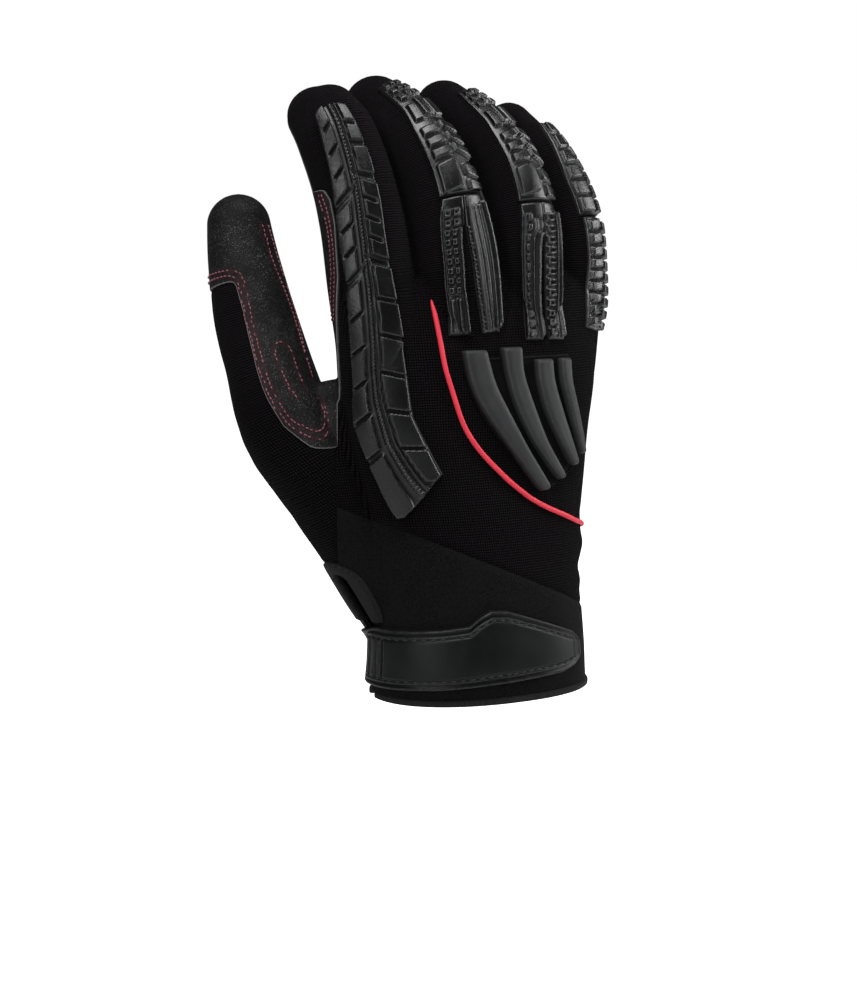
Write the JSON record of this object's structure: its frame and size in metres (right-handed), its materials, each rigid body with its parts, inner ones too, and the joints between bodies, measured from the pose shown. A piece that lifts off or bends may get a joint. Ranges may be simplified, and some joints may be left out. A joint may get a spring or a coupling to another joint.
{
  "type": "tactical glove",
  "caption": "Full-finger right-hand work glove held as worn, with knit back, leather palm, moulded rubber guards, red piping and a hook-and-loop wrist strap.",
  "frame": {"origin": "middle of the wrist, level with the strap", "axes": "+Z from the wrist to the fingertips, -Y faces the back of the hand, -X the thumb"},
  "size_m": [0.145, 0.0844, 0.2174],
  "materials": {
    "knit": "matte fine-ribbed knit",
    "suede": "matte brushed cloth",
    "leather": "satin grained leather",
    "tape": "satin woven tape",
    "guard": "semi-gloss moulded rubber",
    "strap": "semi-gloss moulded rubber",
    "piping": "soft satin red piping"
  },
  "bodies": {
    "root": {"cuff_back": "suede", "cuff_palm": "leather", "hem_binding": "tape", "slit_binding": "tape", "hand_back": "knit", "hand_palm": "leather", "thumb_back": "knit", "thumb_front": "leather", "index_back": "knit", "index_front": "leather", "middle_back": "knit", "middle_front": "leather", "ring_back": "knit", "ring_front": "leather", "little_back": "knit", "little_front": "leather", "wrist_strap": "strap", "strap_panel": "strap", "red_piping": "piping", "index_guard": "guard", "middle_tip_guard": "guard", "middle_base_guard": "guard", "ring_tip_guard": "guard", "ring_base_guard": "guard", "little_tip_guard": "guard", "little_base_guard": "guard", "knuckle_guard": "guard"}
  },
  "joints": []
}
